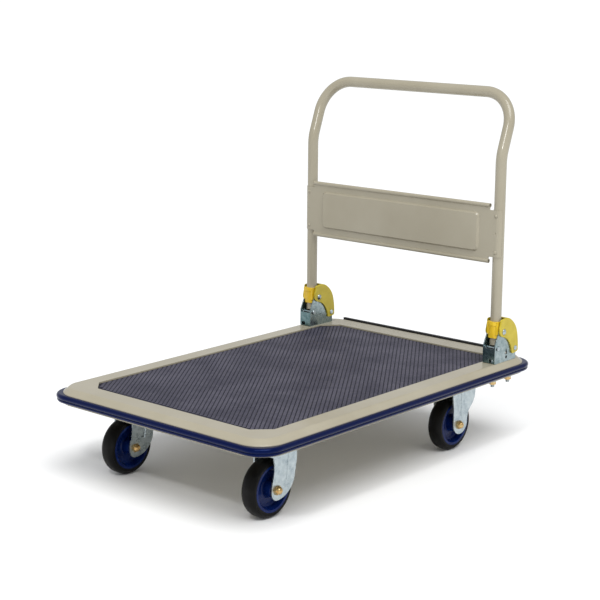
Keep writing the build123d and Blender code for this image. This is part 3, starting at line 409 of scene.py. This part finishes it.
def ring_mesh(profile, centre):
    """Points and faces of a ring about an axis along Y; its section is radius and Y pairs."""
    points, faces, count = [], [], len(profile)
    for i in range(RING_SIDES):
        turn = 2 * pi * i / RING_SIDES
        for radius, y in profile:
            points.append((centre[0] + radius * cos(turn), centre[1] + y,
                           centre[2] + radius * sin(turn)))
        for k in range(count):
            a, b = i * count + k, i * count + (k + 1) % count
            following = (i + 1) % RING_SIDES * count
            c, d = following + (k + 1) % count, following + k
            faces.append((a, b, c, d))
    return points, faces


def tyre_rings(material):
    """Two fine moulded rings on each side of every tyre."""
    for end in ("front", "rear"):
        for side in ("left", "right"):
            low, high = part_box(end + "_tyre_" + side)
            centre = [(a + b) / 2 for a, b in zip(low, high)]
            points, faces = [], []
            for face in (-1, 1):
                for radius, out in TYRE_RINGS:
                    section = ((radius - TYRE_RING_HALF_WIDTH, face * out),
                               (radius, face * (out + TYRE_RING_RISE)),
                               (radius + TYRE_RING_HALF_WIDTH, face * out))
                    more_points, more_faces = ring_mesh(section, centre)
                    faces += [tuple(i + len(points) for i in f) for f in more_faces]
                    points += more_points
            new_piece("tyre_rings_" + end + "_" + side, end + "_wheel_" + side,
                      points, faces, material)


def bolt_threads(material):
    """Thread ridges on the bracket bolts' free ends, below their nuts."""
    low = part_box("bracket_bolts")[0][2]
    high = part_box("bracket_nuts")[0][2]
    turns = (high - low - THREAD_PITCH) / THREAD_PITCH
    total = int(turns * THREAD_STEPS)
    section = ((THREAD_RADIUS, -THREAD_HALF_RIDGE), (THREAD_RADIUS + THREAD_RIDGE, 0.0),
               (THREAD_RADIUS, THREAD_HALF_RIDGE))
    points, faces = [], []
    for x in BOLT_X:
        for y in (BOLT_Y, -BOLT_Y):
            start = len(points)
            for i in range(total + 1):
                turn = 2 * pi * i / THREAD_STEPS
                z = low + THREAD_PITCH * (0.5 + i / THREAD_STEPS)
                for radius, rise in section:
                    points.append((x + radius * cos(turn), y + radius * sin(turn),
                                   z + rise * THREAD_PITCH))
            for i in range(total):
                for k in (0, 1):
                    a = start + 3 * i + k
                    faces.append((a, a + 3, a + 4, a + 1))
    new_piece("bracket_bolt_threads", "chassis", points, faces, material)


def spot_welds(material):
    """Shallow spot-weld marks under the flanges of both cross members."""
    points, faces, half_row = [], [], WELD_COUNT // 2
    for member in ("front_cross_member", "rear_cross_member"):
        low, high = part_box(member)
        z = high[2] - FLANGE_SHEET
        for x in (low[0] + WELD_FROM_EDGE, high[0] - WELD_FROM_EDGE):
            for index in range(-half_row, half_row + 1):
                y = index * WELD_PITCH
                ring = len(points)
                for radius, drop in WELD_SECTION:
                    for i in range(WELD_SIDES):
                        turn = 2 * pi * i / WELD_SIDES
                        points.append((x + radius * cos(turn), y + radius * sin(turn), z - drop))
                for _ in WELD_SECTION[1:]:
                    for i in range(WELD_SIDES):
                        a, b = ring + i, ring + (i + 1) % WELD_SIDES
                        faces.append((a, b, b + WELD_SIDES, a + WELD_SIDES))
                    ring += WELD_SIDES
                faces.append(tuple(ring + i for i in range(WELD_SIDES)))
    new_piece("spot_welds", "chassis", points, faces, material)


# ---- studio -------------------------------------------------------------------------------
def place_lamp(lamp, place):
    """Put a lamp in the scene, facing the cart."""
    lamp_object = bpy.data.objects.new(lamp.name, lamp)
    lamp_object.location = place
    towards = Vector(LAMP_TARGET) - Vector(place)
    lamp_object.rotation_euler = towards.to_track_quat("-Z", "Y").to_euler()
    bpy.context.scene.collection.objects.link(lamp_object)


def studio():
    """A wide pale floor, an even pale world, a broad sun and a small key light for glints."""
    bpy.ops.mesh.primitive_plane_add(size=FLOOR_SIZE)
    floor = bpy.context.object
    floor.name = "floor"
    floor.data.materials.append(studio_floor())
    world = bpy.data.worlds.new("studio")
    world.use_nodes = True
    background = world.node_tree.nodes["Background"]
    background.inputs["Color"].default_value = WORLD_COLOR
    background.inputs["Strength"].default_value = WORLD_STRENGTH
    bpy.context.scene.world = world
    sun = bpy.data.lights.new("sun", "SUN")
    sun.energy, sun.angle = SUN_STRENGTH, radians(SUN_WIDTH)
    place_lamp(sun, SUN_PLACE)
    key = bpy.data.lights.new("key", "AREA")
    key.size, key.energy = KEY_SIZE, KEY_WATTS
    place_lamp(key, KEY_PLACE)


def place_camera():
    """A long lens, high on the cart's front left."""
    azimuth, down = radians(CAMERA_AZIMUTH), radians(CAMERA_DOWN)
    data = bpy.data.cameras.new("camera")
    data.lens, data.sensor_width = LENS_MM, SENSOR_MM
    camera = bpy.data.objects.new("camera", data)
    camera.location = CAMERA_PLACE
    aim = Vector((cos(down) * cos(azimuth), cos(down) * sin(azimuth), -sin(down)))
    roll = Quaternion((0, 0, 1), radians(CAMERA_ROLL))
    camera.rotation_mode = "QUATERNION"
    camera.rotation_quaternion = aim.to_track_quat("-Z", "Y") @ roll
    bpy.context.scene.collection.objects.link(camera)
    bpy.context.scene.camera = camera
    bpy.context.scene.view_settings.view_transform = "Standard"


materials = dress_nodes()
mat_pips()
tyre_rings(materials["tyre"])
bolt_threads(materials["zinc_steel"])
spot_welds(materials["painted_steel"])
studio()
place_camera()
